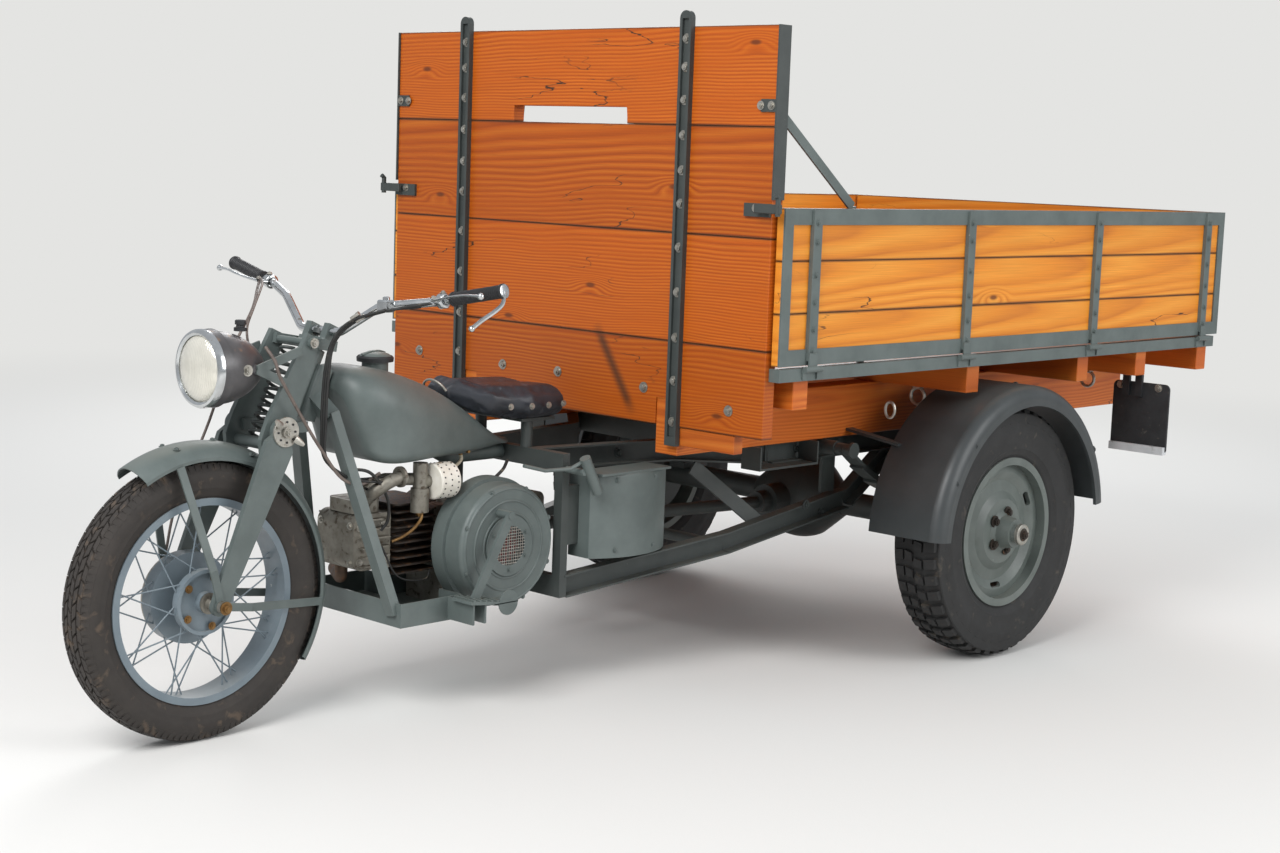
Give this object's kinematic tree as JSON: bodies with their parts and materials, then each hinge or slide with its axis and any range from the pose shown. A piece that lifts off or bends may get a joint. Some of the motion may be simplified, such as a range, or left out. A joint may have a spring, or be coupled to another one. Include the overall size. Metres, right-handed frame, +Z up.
{
  "type": "three-wheeled cargo motorcycle",
  "caption": "Three-wheeled cargo motorcycle with a girder fork, open engine, and a wooden drop-side cargo bed over two driven rear wheels.",
  "frame": {"origin": "on the ground under the middle of the overall length and width", "axes": "+X to the rider's left, +Y to the rear, +Z up"},
  "size_m": [1.7, 3.852, 1.8168],
  "materials": {
    "grey_green_paint": "satin military paint over steel",
    "chassis_paint": "satin dark chassis paint",
    "wheel_paint": "satin paint on wheel steel",
    "mudguard_paint": "satin dark paint",
    "tyre_rubber": "road worn rubber",
    "cast_aluminium": "sand cast, dusty",
    "cast_iron": "oily cast iron",
    "white_enamel": "gloss enamel",
    "exhaust_steel": "heat darkened steel",
    "black_leather": "oiled hide",
    "varnished_pine": "orange brown varnished pine",
    "flap_rubber": "sheet rubber",
    "plated_steel": "zinc plated",
    "chrome_plate": "polished chrome",
    "grip_rubber": "moulded rubber",
    "lamp_enamel": "dark enamel",
    "lamp_glass": "fluted glass"
  },
  "bodies": {
    "chassis": {"air_filter": "white_enamel", "battery_box": "grey_green_paint", "bed_bearers": "varnished_pine", "bed_floor": "varnished_pine", "bed_irons": "grey_green_paint", "bed_timbers": "varnished_pine", "carburettor": "cast_aluminium", "chassis_frame": "chassis_paint", "engine_crankcase": "cast_aluminium", "engine_cylinder": "cast_iron", "engine_head": "cast_aluminium", "exhaust": "exhaust_steel", "fan_drum": "grey_green_paint", "foot_pedal": "grey_green_paint", "front_frame": "grey_green_paint", "fuel_tank": "grey_green_paint", "hand_lever": "grey_green_paint", "headboard": "varnished_pine", "headboard_irons": "grey_green_paint", "leaf_springs": "chassis_paint", "lower_rails": "chassis_paint", "mud_flaps": "flap_rubber", "propeller_shaft": "chassis_paint", "rear_axle": "chassis_paint", "rear_mudguards": "mudguard_paint", "saddle": "black_leather", "saddle_frame": "chassis_paint", "tie_rings": "plated_steel", "upper_rails": "chassis_paint"},
    "fork": {"fork_girder": "grey_green_paint", "steering_stem": "grey_green_paint", "handlebar": "chrome_plate", "handlebar_grips": "grip_rubber", "hand_levers": "chrome_plate", "headlamp_shell": "lamp_enamel", "headlamp_glass": "lamp_glass", "front_mudguard": "grey_green_paint", "front_axle": "plated_steel"},
    "front_wheel": {"front_tyre": "tyre_rubber", "front_wheel_laced": "wheel_paint"},
    "rear_wheel_left": {"rear_tyre_left": "tyre_rubber", "rear_wheel_left_disc": "wheel_paint"},
    "rear_wheel_right": {"rear_tyre_right": "tyre_rubber", "rear_wheel_right_disc": "wheel_paint"},
    "side_gate_left": {"side_gate_left_boards": "varnished_pine", "side_gate_left_irons": "grey_green_paint"},
    "side_gate_right": {"side_gate_right_boards": "varnished_pine", "side_gate_right_irons": "grey_green_paint"},
    "tailgate": {"tailgate_boards": "varnished_pine", "tailgate_irons": "grey_green_paint"}
  },
  "joints": [
    {"name": "steering", "type": "hinge", "parent": "chassis", "child": "fork", "pos_m": [0, -1.229, 0.957], "axis": [0, 0.4067, 0.9135], "range_deg": [-38, 38]},
    {"name": "front_wheel_spin", "type": "hinge", "parent": "fork", "child": "front_wheel", "pos_m": [0, -1.584, 0.342], "axis": [1, 0, 0], "continuous": true},
    {"name": "rear_wheel_left_spin", "type": "hinge", "parent": "chassis", "child": "rear_wheel_left", "pos_m": [0.71, 0.721, 0.375], "axis": [1, 0, 0], "continuous": true},
    {"name": "rear_wheel_right_spin", "type": "hinge", "parent": "chassis", "child": "rear_wheel_right", "pos_m": [-0.71, 0.721, 0.375], "axis": [1, 0, 0], "continuous": true},
    {"name": "side_gate_left_drop", "type": "hinge", "parent": "chassis", "child": "side_gate_left", "pos_m": [0.781, 0.78, 0.907], "axis": [0, 1, 0], "range_deg": [0, 120]},
    {"name": "side_gate_right_drop", "type": "hinge", "parent": "chassis", "child": "side_gate_right", "pos_m": [-0.781, 0.78, 0.907], "axis": [0, -1, 0], "range_deg": [0, 120]},
    {"name": "tailgate_drop", "type": "hinge", "parent": "chassis", "child": "tailgate", "pos_m": [0, 1.918, 0.907], "axis": [-1, 0, 0], "range_deg": [0, 170]}
  ]
}
